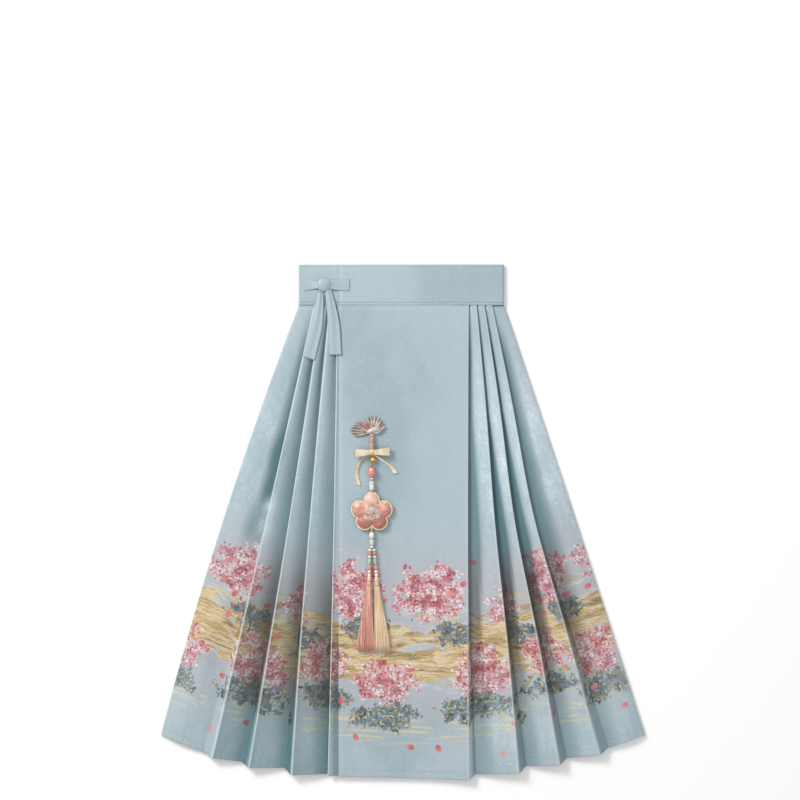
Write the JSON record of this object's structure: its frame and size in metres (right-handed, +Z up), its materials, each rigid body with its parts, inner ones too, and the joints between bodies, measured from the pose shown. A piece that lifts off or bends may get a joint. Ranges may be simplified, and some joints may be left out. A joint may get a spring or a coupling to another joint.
{
  "type": "horse-face skirt",
  "caption": "Pleated wrap skirt with flat overlapping front and back faces, a waistband with ties, and a beaded tassel pendant, laid flat.",
  "frame": {"origin": "middle of the skirt's footprint, on the surface that it lies on", "axes": "+Y from hem to waist, +Z up from the surface, out of the skirt's front, and +X towards the wearer's left"},
  "size_m": [0.8722, 0.925, 0.0246],
  "materials": {
    "blue_cloth": "soft satin weave with a printed border",
    "band_cloth": "matt plain weave",
    "pink_satin": "satin",
    "cream_satin": "satin",
    "silver_thread": "metallic embroidery thread",
    "bell_brass": "polished",
    "bead_glaze": "glossy beads"
  },
  "bodies": {
    "root": {"pleats_right": "blue_cloth", "pleats_left": "blue_cloth", "face_front_outer": "blue_cloth", "face_front_inner": "blue_cloth", "face_back_outer": "blue_cloth", "face_back_inner": "blue_cloth", "waistband": "band_cloth", "tie_outer": "band_cloth", "tie_inner": "band_cloth", "tie_inner_tail": "band_cloth", "pendant_clip": "silver_thread", "pendant_beads_top": "bead_glaze", "pendant_bow": "cream_satin", "pendant_bell": "bell_brass", "pendant_beads_middle": "bead_glaze", "pendant_sachet": "pink_satin", "pendant_beads_lower": "bead_glaze", "pendant_strand_pink": "bead_glaze", "tassel_pink": "pink_satin", "pendant_strand_cream": "bead_glaze", "tassel_cream": "cream_satin"}
  },
  "joints": []
}
